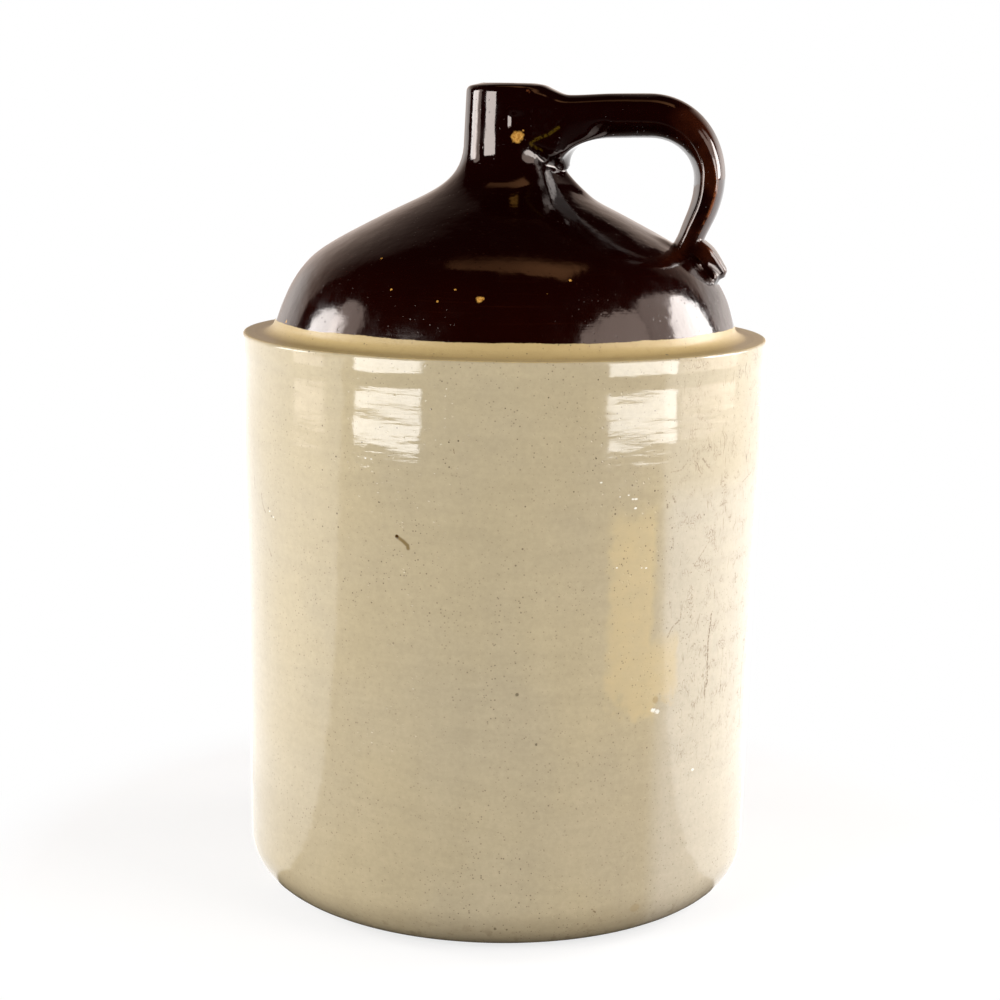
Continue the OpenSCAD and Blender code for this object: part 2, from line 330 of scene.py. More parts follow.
def handle_path(shoulder):
    """Stations: place, rise, drop, half width, both bevels, ridge softness and face share."""
    pinch_way = np.array([-math.sin(PINCH_LEAN), -math.cos(PINCH_LEAN)])
    pinch = np.array([PINCH_R, np.interp(-PINCH_R, -shoulder[:, 0], shoulder[:, 1]) + PINCH_UP])
    bend = np.array([BEND_R, BAR_H + 0.5])
    side = np.array([SIDE_R, LEDGE_H + SIDE_UP])
    right, up = BEND_PULL[0] * (SIDE_R - BEND_R), BEND_PULL[1] * (bend[1] - side[1])
    bend_line = curve([bend, bend + [right, 0], side + [0, up], side], BEND_STEPS)
    side_line = curve([side, side - [0, SIDE_PULL], pinch - PINCH_PULL * pinch_way, pinch], SIDE_STEPS)
    rows = []

    def station(p, up, down, half, t):
        section = [along_strap(v, t) for v in (BEVELS_OUT, BEVELS_IN, RIDGES, FACE_SHARES)]
        rows.append([*p, up, down, half, *section])

    for x in np.linspace(0, BEND_R, BAR_STEPS + 1)[:-1]:
        sag = BAR_SAG * ease(60, 36, x) - BAR_HUMP * ease(50, BEND_R, x)
        rise = ROOT_RISE * ease(NECK_R + WEB_GAP + 4, NECK_R - 5, x)
        half = mix(BAR_W / 2, ROOT_HALF, max(0, 1 - x / ROOT_LEN) ** ROOT_FLARE)
        station((x, BAR_H - sag), BAR_T / 2 + rise, BAR_T / 2, half, ease(50, BEND_R + 10, x))
    for i, p in enumerate(bend_line[:-1]):
        t = i / BEND_STEPS
        thick = mix(BAR_T, SIDE_T, ease(0, 1, t)) / 2
        station(p, thick, thick, mix(BAR_W, SIDE_W, t) / 2, mix(ease(50, 90, BEND_R), 2, t))
    for i, p in enumerate(side_line):
        t = i / SIDE_STEPS
        thick = mix(SIDE_T, PINCH_T, t) / 2
        station(p, thick, thick, mix(SIDE_W, PINCH_W, t) / 2, 2 + t)
    for d in np.linspace(1, 18, PINCH_STEPS):
        more = FOOT_SPREAD * ease(0, 15, d)
        thick = (PINCH_T + more) / 2
        station(pinch + d * pinch_way, thick, thick, (PINCH_W + more) / 2, 3)
    rows = np.array(rows)
    way = np.gradient(rows[:, :2], axis=0)
    way /= np.linalg.norm(way, axis=1)[:, None]
    return rows, way


def soft_min(a, b, k):
    """The smaller of two distances, with their meeting rounded over k."""
    h = np.maximum(k - np.abs(a - b), 0) / k
    return np.minimum(a, b) - h * h * k / 4


def soft_max(a, b, k):
    return -soft_min(-a, -b, k)


def facet(y, above, half, depth, wide, k):
    """A flat face with a bevel beside it, rounded by k; the face's middle keeps its height."""
    size = np.hypot(depth, wide)
    bevel = ((y - half) * depth + (above + depth) * wide) / size
    middle = np.maximum(k - depth * (half - wide) / size, 0) / k
    return soft_max(above, bevel, k) - middle * middle * k / 4


def nearest_on(line, q):
    """For each point q: the segment of the line that it is nearest to, and the share along it."""
    a, d = line[:-1], np.diff(line, axis=0)
    size = (d * d).sum(1)
    best = np.full(len(q), np.inf)
    seg = np.zeros(len(q), int)
    share = np.zeros(len(q))
    for lo in range(0, len(q), 4000):
        p = q[lo:lo + 4000, None] - a[None]
        t = np.clip((p * d[None]).sum(2) / size[None], 0, 1)
        gap = p - t[..., None] * d[None]
        dist = (gap * gap).sum(2)
        k = dist.argmin(1)
        r = np.arange(len(k))
        best[lo:lo + 4000], seg[lo:lo + 4000], share[lo:lo + 4000] = dist[r, k], k, t[r, k]
    return seg, share, np.sqrt(best)


class Clay:
    """Signed distance to the jug's outside where the handle meets it, in millimetres."""

    def __init__(self, rows, marks):
        first = marks["foot_low"] - 24
        self.outline = rows[first:marks["neck_top"] + 9]
        self.along = lengths(self.outline)
        self.shoulder = rows[first:marks["neck_top"] - LIP_ROWS]
        self.path, self.way = handle_path(self.shoulder)
        self.tail_from = np.interp(-PINCH_R, -self.shoulder[:, 0], lengths(self.shoulder))

    def body(self, r, z):
        """Distance to the turned body, and the length along its outline at the nearest place."""
        q = np.stack([r, z], 1)
        seg, share, dist = nearest_on(self.outline, q)
        d = np.diff(self.outline, axis=0)[seg]
        p = q - self.outline[seg]
        side = d[:, 1] * p[:, 0] - d[:, 0] * p[:, 1]
        s = self.along[seg] + share * np.linalg.norm(d, axis=1)
        return np.where(side >= 0, dist, -dist), s

    def web(self, p):
        """Height above the underside of the root, which curves down like a quarter ellipse."""
        low = BAR_H - BAR_T / 2 - WEB_DROP
        q = np.clip((WEB_END - p[:, 0]) / WEB_LEN, 0, None)
        w = np.clip((p[:, 2] - low) / WEB_DROP, 0, None)
        size = np.sqrt(q * q + w * w) + 1e-9
        slope = np.sqrt((q / WEB_LEN) ** 2 + (w / WEB_DROP) ** 2) / size + 1e-9
        return (size - 1) / slope

    def inner_face(self, p, y, above, half, bevel, drop, keel, root):
        """The strap's keel and the bevels beside it; on the root the keel follows the web."""
        deep = bevel + drop
        soft = mix(KEEL_SOFT, ROOT_KEEL_SOFT, root)
        wide = half * (1 - keel)
        size = np.hypot(deep, wide)
        side = ((y - half) * deep - (above - bevel) * wide) / size
        crest = np.maximum(soft - deep * half * keel / size, 0) / soft
        inner = soft_max(-mix(above, self.web(p), root), side, soft)
        return inner - crest * crest * soft / 4 - KEEL_GROW

    def strap(self, p):
        """Signed distance to the strap, whose section changes along its middle line."""
        x, y = p[:, 0], np.abs(p[:, 1])
        q = p[:, [0, 2]]
        seg, share, _ = nearest_on(self.path[:, :2], q)
        at = mix(self.path[seg], self.path[seg + 1], share[:, None])
        way = mix(self.way[seg], self.way[seg + 1], share[:, None])
        way /= np.linalg.norm(way, axis=1)[:, None]
        gap = q - at[:, :2]
        t = -gap[:, 0] * way[:, 1] + gap[:, 1] * way[:, 0]
        up, down, half, out, inn, ridge, face = at[:, 2:].T
        high = p[:, 2] > LEDGE_H + ROOT_ZONE
        root = ease(WEB_END, WEB_END - 4, x) * high
        share = np.clip((WEB_END - x) / WEB_LEN, 0, 1)
        drop = high * WEB_DROP * (1 - np.sqrt(1 - share * share))
        bevel = mix(inn, PAD_BEVEL - drop, ease(PAD_FROM + 12, PAD_FROM, x) * high)
        keel = mix(KEEL_SHARE, PAD_KEEL, ease(WEB_FROM + 18, WEB_FROM, x) * high)
        outer = facet(y, t - up, half, out, half * (1 - face), 1.0 + 0.6 * ridge) - FACE_GROW
        inner = self.inner_face(p, y, t + down, half, bevel, drop, keel, root)
        d = soft_max(soft_max(y - half, outer, ridge), inner, np.minimum(ridge, 2.0))
        d = soft_max(d, ROOT_FROM - x, 2.0)
        edge = LEDGE_H + PAD_UP + PAD_OUT * y + PAD_BACK * np.clip(PAD_TURN - x, 0, None)
        foot = (edge - p[:, 2]) / math.hypot(1, PAD_BACK)
        return np.where(x < ROOT_ZONE, soft_max(d, foot - 30 * (1 - root), 1.6), d)

    def tail(self, p, above, s):
        """The folded end: a block of clay over a slightly smaller one that fills its underside."""
        reach = self.tail_from - s
        past = reach - TAIL_REACH
        y = np.abs(p[:, 1])
        thick = mix(TAIL_T, TAIL_END_T, ease(4, TAIL_REACH, reach))
        d = soft_max(above - thick, past + TAIL_NOSE * np.abs(above - 7), TAIL_SOFT)
        side = y - TAIL_HALF + TAIL_TAPER * np.clip(reach - 6, 0, None) + TAIL_LEAN * (above - 5)
        d = soft_max(d, side / math.hypot(1, TAIL_LEAN), 1.4)
        d = soft_max(d, TAIL_STEP - above, 1.2)
        fill = soft_max(above - TAIL_STEP - 1, past + FILL_BACK, FILL_SOFT)
        fill = soft_max(fill, y - TAIL_HALF + FILL_IN, FILL_SOFT)
        return soft_max(np.minimum(d, fill), -reach - 4, TAIL_SOFT)

    def __call__(self, p):
        r = np.hypot(p[:, 0], p[:, 1])
        above, s = self.body(r, p[:, 2])
        up = p[:, 2] - LEDGE_H
        handle = soft_min(self.strap(p), self.tail(p, above, s), TAIL_FILLET)
        whole = soft_min(above, handle, mix(FOOT_FILLET, ROOT_FILLET, ease(70, 90, up)))
        for x, y, z, size, height in MOUNDS:
            gap = (p[:, 0] - x) ** 2 + (p[:, 1] - y) ** 2 + (up - z) ** 2
            whole = whole - height * np.exp(-gap / (2 * size * size))
        return whole

    def pull(self, p):
        """Moves points onto the surface, along its slope, by one step of 2 mm at most."""
        f = self(p)
        e = 0.02
        slope = np.stack([(self(p + e * axis) - f) / e for axis in np.eye(3)], 1)
        size = (slope * slope).sum(1)
        step = np.clip(f / np.maximum(size, 0.2), -2, 2)
        return p - step[:, None] * slope


def strap_ring(up, down, half, out, inn, face):
    """One ring of the strap as [across, outward], with its points gathered at the edges."""
    places = (half * face, up), (half, up - out), (half, inn - down), (half * KEEL_SHARE, -down)
    corner = [(*place, k) for place, k in zip(places, EDGE_POINTS)]
    corner += [(-y, t, RING - k) for y, t, k in corner[::-1]]
    pts = np.zeros((RING, 2))
    for (y0, t0, k0), (y1, t1, k1) in zip(corner, corner[1:] + corner[:1]):
        n = (k1 - k0) % RING
        for i in range(n):
            f = i / n
            f -= 0.45 * math.sin(2 * math.pi * f) / (2 * math.pi)
            pts[(k0 + i) % RING] = mix(y0, y1, f), mix(t0, t1, f)
    return pts


def loop_of(lower, upper, grid, outer_low):
    """Vertices round a patch, from the middle of its outer side and over +Y."""
    cols = range(-HALF_PATCH, HALF_PATCH + 1)
    a, b = (lower, upper) if outer_low else (upper, lower)
    step = 1 if b > a else -1
    loop = [(a, c) for c in range(0, HALF_PATCH)]
    loop += [(i, HALF_PATCH) for i in range(a, b, step)]
    loop += [(b, c) for c in cols[::-1][:-1]]
    loop += [(i, -HALF_PATCH) for i in range(b, a, -step)]
    loop += [(a, c) for c in range(-HALF_PATCH, 0)]
    return np.array([grid[i, c % COLUMNS] for i, c in loop])


def handle_rings(clay, verts, neck_loop, foot_loop):
    """The handle's own rings, between the two loops."""
    path, way = clay.path, clay.way
    last = BAR_STEPS + BEND_STEPS + SIDE_STEPS
    own = [i for i in range(last + 1) if path[i, 0] >= RINGS_FROM]
    own = own[::2] if len(own) % 2 else own[1::2]
    rings = []
    for i in own:
        pts = strap_ring(*path[i, 2:7], path[i, 8])
        w = way[i]
        rings.append(np.stack([path[i, 0] - pts[:, 1] * w[1], pts[:, 0],
                               path[i, 1] + pts[:, 1] * w[0]], 1))
    root = [mix(verts[neck_loop], rings[0], k / ROOT_RINGS) for k in range(1, ROOT_RINGS)]
    bulge = np.array([0.75, 0, 0.66])
    outer = 0.5 + 0.5 * np.cos(2 * math.pi * np.arange(RING) / RING)
    foot = []
    for k in range(1, FOOT_RINGS):
        f = k / FOOT_RINGS
        ring = mix(rings[-1], verts[foot_loop], f)
        foot.append(ring + (FOOT_BULGE * math.sin(math.pi * f) * outer ** 2)[:, None] * bulge)
    return root + rings + foot


def neighbour_sum(a, b, values):
    """For each vertex: the sum of the values at the other ends of its edges."""
    total = np.zeros_like(values)
    np.add.at(total, a, values[b])
    np.add.at(total, b, values[a])
    return total


def settle(verts, faces, clay, weight, start, rounds):
    """Evens out the weighted vertices while they stay on the surface."""
    edges = np.concatenate([faces[:, [k, (k + 1) % 4]] for k in range(4)])
    edges = np.unique(np.sort(edges, axis=1), axis=0)
    for _ in range(6):
        verts[start:] = clay.pull(verts[start:])
    busy = weight > 0
    a, b = edges[busy[edges[:, 0]] | busy[edges[:, 1]]].T
    degree = np.maximum(np.bincount(np.concatenate([a, b]), minlength=len(verts)), 1)[:, None]
    chosen = np.nonzero(busy)[0]
    for _ in range(rounds):
        move = neighbour_sum(a, b, verts)[chosen] / degree[chosen] - verts[chosen]
        verts[chosen] += SETTLE_SHARE * weight[chosen, None] * move
        verts[chosen] = clay.pull(verts[chosen])
    for _ in range(3):
        verts[chosen] = clay.pull(verts[chosen])
    return verts


def jug_mesh():
    """Vertices and faces of the whole jug, outside and hollow, as one closed mesh."""
    outer, marks = outer_rows()
    rows = np.vstack([outer, hollow_rows()])
    angles = column_angles(rows, marks)
    grid_pts = np.stack([rows[:, :1] * np.cos(angles), rows[:, :1] * np.sin(angles),
                         np.repeat(rows[:, 1:], COLUMNS, 1)], 2)
    verts = grid_pts.reshape(-1, 3)
    grid = np.arange(len(verts)).reshape(len(rows), COLUMNS)
    clay = Clay(rows, marks)
    i, j = np.meshgrid(np.arange(len(rows) - 1), np.arange(COLUMNS), indexing="ij")
    k = (j + 1) % COLUMNS
    faces = np.stack([grid[i, j], grid[i, k], grid[i + 1, k], grid[i + 1, j]], 2).reshape(-1, 4)
    signed = np.where(j >= COLUMNS // 2, j - COLUMNS, j).ravel()
    across = (signed >= -HALF_PATCH) & (signed < HALF_PATCH)
    row = i.ravel()
    gone = np.zeros(len(faces), bool)
    loops = []
    for low, top, outer_low in (("neck_low", "neck_top", False), ("foot_low", "foot_top", True)):
        a, b = marks[low], marks[top]
        gone |= across & (row >= a) & (row < b)
        loops.append(loop_of(a, b, grid, outer_low))
    faces = faces[~gone]
    rings = handle_rings(clay, verts, *loops)
    start = len(verts)
    verts = np.vstack([verts] + rings)
    ids = [loops[0]] + [start + RING * n + np.arange(RING) for n in range(len(rings))] + [loops[1]]
    tube = []
    for a, b in zip(ids, ids[1:]):
        tube.append(np.stack([a, b, np.roll(b, -1), np.roll(a, -1)], 1))
    faces = np.vstack([faces] + tube)
    weight = settle_weight(verts, start, marks["neck_top"], len(rows), len(rings))
    rounds = ROUNDS
    return settle(verts, faces, clay, weight, start, rounds), faces, grid


def settle_weight(verts, start, top, row_count, ring_count):
    """How freely each vertex may move: fully at the joints and not at all away from them."""
    weight = np.zeros(len(verts))
    up = verts[:, 2] - LEDGE_H
    azimuth = np.degrees(np.abs(np.arctan2(verts[:, 1], verts[:, 0])))
    row = np.full(len(verts), 10 ** 6)
    row[:start] = np.repeat(np.arange(row_count), COLUMNS)
    neck = ease(54, 64, up) * ease(150, 105, azimuth) * ease(top + 2, top - 1, row)
    away = np.hypot(verts[:, 1], np.hypot(verts[:, 0] - 106, up - 42))
    foot = ease(44, 30, away) * (row <= top)
    weight[:start] = np.maximum(neck, foot)[:start]
    ring = np.repeat(np.arange(ring_count), RING)
    weight[start:] = np.maximum(ease(22, 14, ring), ease(ring_count - 28, ring_count - 20, ring))
    return weight


def store_ridges(mesh):
    """Keeps each vertex's bend, in 1/mm and positive on ridges, for the glaze that thins there."""
    count = len(mesh.vertices)
    place, normal = np.zeros(count * 3), np.zeros(count * 3)
    mesh.vertices.foreach_get("co", place)
    mesh.vertices.foreach_get("normal", normal)
    place, normal = place.reshape(-1, 3) / MM, normal.reshape(-1, 3)
    edges = np.zeros(len(mesh.edges) * 2, int)
    mesh.edges.foreach_get("vertices", edges)
    a, b = edges.reshape(-1, 2).T
    way = place[b] - place[a]
    size = (way * way).sum(1)
    bend, weight = np.zeros(count), np.zeros(count)
    for k, step in ((a, way), (b, -way)):
        np.add.at(bend, k, -2 * (step * normal[k]).sum(1) / np.maximum(size, 0.04))
        np.add.at(weight, k, 1)
    values = bend / np.maximum(weight, 1)
    for _ in range(2):
        values = (values + neighbour_sum(a, b, values)) / (weight + 1)
    layer = mesh.attributes.new("ridge", "FLOAT", "POINT")
    layer.data.foreach_set("value", values)


def add_object(name, data):
    obj = bpy.data.objects.new(name, data)
    bpy.context.collection.objects.link(obj)
    return obj


def build_jug():
    """The jug as one Blender mesh, with the middles of the base and of the hollow's floor filled."""
    verts, faces, grid = jug_mesh()
    foot, top = len(verts), len(verts) + 1
    verts = np.vstack([verts, [[0, 0, 0]], [[0, 0, FLOOR_T]]])
    j = np.arange(COLUMNS)
    k = (j + 1) % COLUMNS
    fans = [(foot, grid[0, b], grid[0, a]) for a, b in zip(j, k)]
    fans += [(top, grid[-1, a], grid[-1, b]) for a, b in zip(j, k)]
    used = np.zeros(len(verts), bool)
    used[faces.ravel()] = True
    used[[foot, top]] = True
    index = np.cumsum(used) - 1
    mesh = bpy.data.meshes.new("jug_glazed")
    polys = [tuple(f) for f in index[faces].tolist()]
    polys += [tuple(int(index[v]) for v in f) for f in fans]
    mesh.from_pydata((verts[used] * MM).tolist(), [], polys)
    mesh.validate()
    mesh.polygons.foreach_set("use_smooth", [True] * len(mesh.polygons))
    mesh.update()
    store_ridges(mesh)
    return add_object("jug_glazed", mesh)


class Nodes:
    """Short names for the shader nodes of a material, a lamp or the world."""

    def __init__(self, owner):
        owner.use_nodes = True
        self.tree = owner.node_tree
        self.tree.nodes.clear()

    def link(self, value, socket):
        if isinstance(value, bpy.types.NodeSocket):
            self.tree.links.new(value, socket)
        else:
            socket.default_value = value

    def add(self, kind, inputs=(), **settings):
        """A node with its inputs linked or set, by name or by number."""
        node = self.tree.nodes.new(kind)
        for name, value in settings.items():
            setattr(node, name, value)
        for name, value in dict(inputs).items():
            self.link(value, node.inputs[name])
        return node

    def math(self, operation, *values, clamp=False):
        node = self.add("ShaderNodeMath", enumerate(values), operation=operation, use_clamp=clamp)
        return node.outputs[0]

    def fma(self, a, b, c):
        """a times b plus c."""
        return self.math("MULTIPLY_ADD", a, b, c)

    def less(self, a, b):
        return self.math("SUBTRACT", a, b)

    def over(self, a, b):
        return self.math("DIVIDE", a, b)

    def size(self, a):
        return self.math("ABSOLUTE", a)

    def vector(self, operation, *values):
        node = self.add("ShaderNodeVectorMath", enumerate(values), operation=operation)
        single = operation in ("DOT_PRODUCT", "LENGTH", "DISTANCE")
        return node.outputs["Value" if single else "Vector"]

    def split(self, vector):
        node = self.add("ShaderNodeSeparateXYZ", {0: vector})
        return [node.outputs[k] for k in "XYZ"]

    def ramp(self, value, a, b, smooth=True):
        """0 at a and 1 at b."""
        kind = "SMOOTHSTEP" if smooth else "LINEAR"
        inputs = {"Value": value, "From Min": a, "From Max": b}
        return self.add("ShaderNodeMapRange", inputs, interpolation_type=kind).outputs["Result"]

    def band(self, value, a, b, c, d):
        """0 up to a, 1 from b to c and 0 again from d."""
        return self.times(self.ramp(value, a, b), self.ramp(value, d, c))

    def line(self, value, stops):
        """Straight pieces between the stops, each a pair of place and value."""
        low, high = stops[0][0], stops[-1][0]
        top = max(v for _, v in stops)
        node = self.add("ShaderNodeValToRGB", {0: self.ramp(value, low, high, smooth=False)})
        points = node.color_ramp.elements
        for x, _ in stops[1:-1]:
            points.new((x - low) / (high - low))
        for point, (_, v) in zip(points, stops):
            point.color = (v / top, v / top, v / top, 1)
        return self.times(node.outputs["Color"], top)

    def mix(self, factor, a, b, blend="MIX"):
        inputs = {"Factor": factor, 6: a, 7: b}
        return self.add("ShaderNodeMix", inputs, data_type="RGBA", blend_type=blend).outputs[2]

    def tint(self, colour, level):
        return self.mix(1.0, colour, level, "MULTIPLY")

    def paint(self, colour, *layers):
        """Colours laid over one another, each given with its mask and strength."""
        for over, mask, strength in layers:
            colour = self.mix(self.times(mask, strength), colour, over)
        return colour

    def blend(self, factor, a, b):
        """Two shaders mixed; where the factor is 0 or 1 the other one costs nothing."""
        return self.add("ShaderNodeMixShader", {0: factor, 1: a, 2: b}).outputs[0]

    def times(self, *values):
        result = values[0]
        for value in values[1:]:
            result = self.math("MULTIPLY", result, value)
        return result

    def most(self, values):
        result = values[0]
        for value in values[1:]:
            result = self.math("MAXIMUM", result, value)
        return result

    def scaled(self, place, x, y, z):
        return self.vector("MULTIPLY", place, (x, y, z))

    def speckle(self, place, scale, size, share):
        """Round dots: one in each chosen cell of a loose grid; share is how many cells have one."""
        node = self.add("ShaderNodeTexVoronoi", {"Vector": place, "Scale": scale})
        split = self.add("ShaderNodeSeparateColor", {0: node.outputs["Color"]})
        reach = self.fma(split.outputs[1], size * scale, 0.4 * size * scale)
        dot = self.ramp(node.outputs["Distance"], reach, self.times(reach, 0.5))
        return self.times(dot, self.ramp(split.outputs[0], 1 - share, 1.001 - share))

    def spot(self, place, centre, size, ragged=0.0, wobble=None):
        """1 inside a soft-edged blot round a point."""
        far = self.vector("DISTANCE", place, centre)
        if wobble is not None:
            far = self.fma(wobble, ragged, far)
        return self.ramp(far, size * 1.15, size * 0.75)

    def stroke(self, place, points, half):
        """1 along a line of points in space, fading out over half a width."""
        parts = []
        for a, b in zip(points, points[1:]):
            a, b = Vector(a), Vector(b)
            d = b - a
            away = self.vector("SUBTRACT", place, tuple(a))
            t = self.vector("DOT_PRODUCT", away, tuple(d))
            t = self.math("DIVIDE", t, d.length_squared, clamp=True)
            nearest = self.add("ShaderNodeVectorMath", {0: tuple(d), "Scale": t}, operation="SCALE")
            gap = self.vector("DISTANCE", away, nearest.outputs[0])
            parts.append(self.ramp(gap, half * 1.5, half * 0.4))
        return self.most(parts)

    def noise(self, place, scale, detail=2.0, rough=0.5, output="Fac"):
        inputs = {"Vector": place, "Scale": scale, "Detail": detail, "Roughness": rough}
        return self.add("ShaderNodeTexNoise", inputs).outputs[output]

    def patches(self, place, scale, detail, low, high, rough=0.5):
        """Soft-edged patches: 0 where the noise is below low and 1 above high."""
        return self.ramp(self.noise(place, scale, detail, rough), low, high)

    def grain(self, place, across, up, detail, rough=0.5):
        """Noise that is stretched across or up and down."""
        return self.noise(self.scaled(place, across, across, up), 1.0, detail, rough)


# Zones of the surface, in millimetres above the table
BROWN_FOOT = LEDGE_H + 7.3
CREAM_TOP = LEDGE_H - 0.4
BARE_FOOT = 1.6
WALL_R = 147.5
# Roughness and refraction of the surfaces
CLAY_ROUGH = 0.34
CLAY_GLASS, CREAM_GLASS, BROWN_GLASS = 1.42, 1.5, 1.6

BROWN = (0.0045, 0.0003, 0.0002, 1)
BROWN_LOW = (0.009, 0.0008, 0.0002, 1)
BROWN_WARM = (0.03, 0.006, 0.002, 1)
BROWN_TINT = (1.0, 0.88, 0.82, 1)
RIDGE_TAN = (0.2, 0.06, 0.02, 1)
GOLD = (0.55, 0.3, 0.07, 1)
GOLD_DARK = (0.3, 0.13, 0.02, 1)
DOT_TAN = (0.22, 0.1, 0.02, 1)
OLIVE = (0.06, 0.036, 0.003, 1)
CREAM = (0.45, 0.378, 0.243, 1)
CREAM_COOL = (0.436, 0.37, 0.248, 1)
CREAM_SHEEN_AND_WEAR = (0.49, 0.435, 0.335, 1)
STAIN = (0.57, 0.455, 0.255, 1)
STAIN_PINK = (0.6, 0.44, 0.27, 1)
CLAY = (0.475, 0.36, 0.166, 1)
CLAY_DARK = (0.38, 0.27, 0.115, 1)
SPECK = (0.07, 0.05, 0.025, 1)
SCRATCH = (0.14, 0.085, 0.035, 1)
WORM_TAN = (0.17, 0.11, 0.035, 1)
WORM_HEAD = (0.05, 0.02, 0.002, 1)
FOOT_TAN = (0.36, 0.27, 0.15, 1)
GRIME = (0.2, 0.14, 0.07, 1)
NICK_AND_GLINT_WHITE = (0.8, 0.78, 0.7, 1)
PURE_WHITE = (1, 1, 1, 1)

# Gold flecks in the brown glaze: x, y, height over the ledge, size
FLECKS = (
    (9.0, -22.6, 109.7, 3.1), (10.6, -22.4, 110.3, 2.4), (12.3, -21.0, 113.2, 0.8),
    (7.7, -119.9, 28.4, 1.7), (9.6, -119.6, 29.0, 0.9), (-50.7, -91.0, 45.9, 0.7),
    (-40.5, -111.1, 31.4, 0.7), (-14.1, -120.2, 26.7, 0.6), (-5.5, -117.1, 32.9, 0.6),
    (51.6, -100.6, 38.0, 0.8), (-108.9, -69.4, 8.7, 1.0),
)
# Points of the crooked olive line on the root, and the orange patch under the lip
OLIVE_LINE = ((31.4, -18.2, 115.2), (26.1, -19.0, 111.4), (21.8, -19.7, 109.7), (18.0, -20.2, 108.0),
              (16.3, -20.1, 106.3), (17.9, -19.5, 104.7), (22.3, -18.3, 102.6))
LIP_PATCH = (14.4, -19.2, 134.9, 2.2)

# Scratches on the cream wall: azimuth and height of their points, then half width and strength
SCRATCHES = (
    ((-89.8, 273.6), (-89.5, 270.9), 0.25, 0.7),
    ((-146.9, 242.4), (-146.7, 235.9), 0.5, 0.5),
    ((-142.4, 234.6), (-142.2, 229.6), (-140.6, 224.8), 0.5, 0.5),
    ((-139.2, 205.1), (-138.2, 201.2), 0.4, 0.5),
    ((-34.8, 263.4), (-32.7, 258.3), 0.5, 0.6),
    ((-39.7, 262.0), (-41.3, 258.8), (-43.9, 258.5), 0.35, 0.4),
    ((-12.2, 249.4), (-18.2, 245.5), 0.45, 0.5),
    ((-43.2, 245.6), (-42.3, 242.2), 0.5, 0.5),
    ((-44.5, 241.8), (-44.5, 240.0), 0.5, 0.6),
    ((-25.3, 237.2), (-28.0, 235.9), 0.4, 0.5),
    ((-42.5, 223.3), (-42.3, 216.8), 0.4, 0.4),
    ((-31.2, 217.7), (-35.8, 206.3), 0.4, 0.4),
    ((-18.8, 193.4), (-18.6, 189.4), 0.4, 0.9),
    ((-28.1, 190.3), (-28.0, 184.1), 0.4, 0.5),
    ((-28.9, 176.9), (-29.7, 162.0), (-29.6, 153.3), (-29.4, 139.7), (-30.1, 134.3), 0.55, 0.8),
    ((-30.1, 134.3), (-30.3, 112.5), 0.35, 0.3),
    ((-7.9, 165.9), (-10.0, 150.3), (-11.3, 136.1), (-11.0, 100.8), 0.45, 0.6),
    ((-23.2, 157.8), (-23.7, 138.5), (-23.7, 127.8), 0.4, 0.3),
    ((-38.9, 185.8), (-39.2, 178.4), (-41.6, 174.6), (-42.7, 169.8), 0.45, 0.5),
    ((-33.0, 178.7), (-34.2, 171.7), 0.4, 0.35),
    ((-42.6, 189.0), (-42.3, 185.6), 0.4, 0.5),
    ((-58.5, 23.0), (-59.2, 24.8), 0.5, 0.8),
)
# Small dark marks, and small white nicks among painted glints, the white reflections of small bumps:
# azimuth, height, size. Nicks and glints are wider than they are high
NICK_NARROW, OVAL_NARROW = 0.6, 0.8
SPOTS = (
    (-91.7, 267.5, 0.4), (-91.3, 265.6, 0.5), (-42.9, 228.8, 0.6), (-54.5, 132.0, 0.5),
    (-54.3, 156.1, 0.5), (-41.7, 151.1, 0.5), (-66.5, 109.8, 0.4), (-47.2, 110.8, 0.6),
    (-76.3, 145.3, 1.2), (-72.2, 118.3, 0.9), (-87.7, 83.2, 0.5), (-139.0, 228.0, 0.8),
    (-137.6, 224.2, 0.7), (-135.8, 222.8, 0.6), (-80.0, 16.0, 1.1), (-77.5, 15.5, 0.8),
)
# the pairs near azimuths -108 and -137 are painted glints, reflections of small bumps under the lamps;
# the others are white nicks
NICKS_AND_GLINTS = (
    (-52.3, 246.2, 0.8), (-53.0, 246.3, 0.7), (-54.0, 248.5, 0.5), (-52.3, 241.4, 0.8),
    (-55.9, 248.0, 0.4), (-60.1, 256.0, 0.6), (-56.0, 210.6, 0.6), (-49.1, 209.0, 0.6),
    (-50.2, 209.3, 0.4), (-45.9, 131.0, 1.5), (-44.8, 129.9, 1.5), (-33.3, 91.9, 1.1),
    (-108.4, 265.2, 0.6), (-107.0, 265.0, 0.5), (-138.3, 226.5, 0.6), (-136.6, 224.0, 0.5),
)
# The worm-shaped mark, two tan spots and the pink patch
WORM = ((-101.3, 225.9), (-99.9, 223.6), (-99.0, 221.6), (-98.9, 220.1))
TAN_NICK = (-45.4, 136.5)
TAN_OVAL = (-48.7, 21.3)
PINK = (-51.7, 158.3)
# The yellow stain: azimuths of its left and right sides, and its lower and upper heights
STAIN_PARTS = ((-57.5, -47.0, 160, 237), (-57.3, -39.8, 136, 169), (-53.5, -45.5, 129, 150))
# The painted sheen of both sides, on the right partly worn glaze, and the cracked glaze: azimuths in
# radians where they fade in and out
WORN_AND_SHEEN = (-0.84, -0.72, 0.5, 1.2)
SHEEN_FAR = (-2.3, -2.75)
CRACKED = (-0.8, -0.62, 0.2, 0.6)
LEDGE_SPECK = (101.8, -90.4)
# The thumb's dent on the neck: x of its left end, its deepest place and its right end
DENT_X = (3.0, 7.0, 18.0)
DENT_UP, DENT_HALF, DENT_DEPTH = 118.2, 5.0, 1.15
CHIP_DEPTH = 0.12


def on_wall(azimuth, height):
    """The flat wall coordinates of a mark: length round the wall and height, in millimetres."""
    return math.radians(azimuth) * WALL_R, height, 0


def on_dome(x, y, up):
    """The place of a mark whose height is counted from the ledge."""
    return x, y, LEDGE_H + up


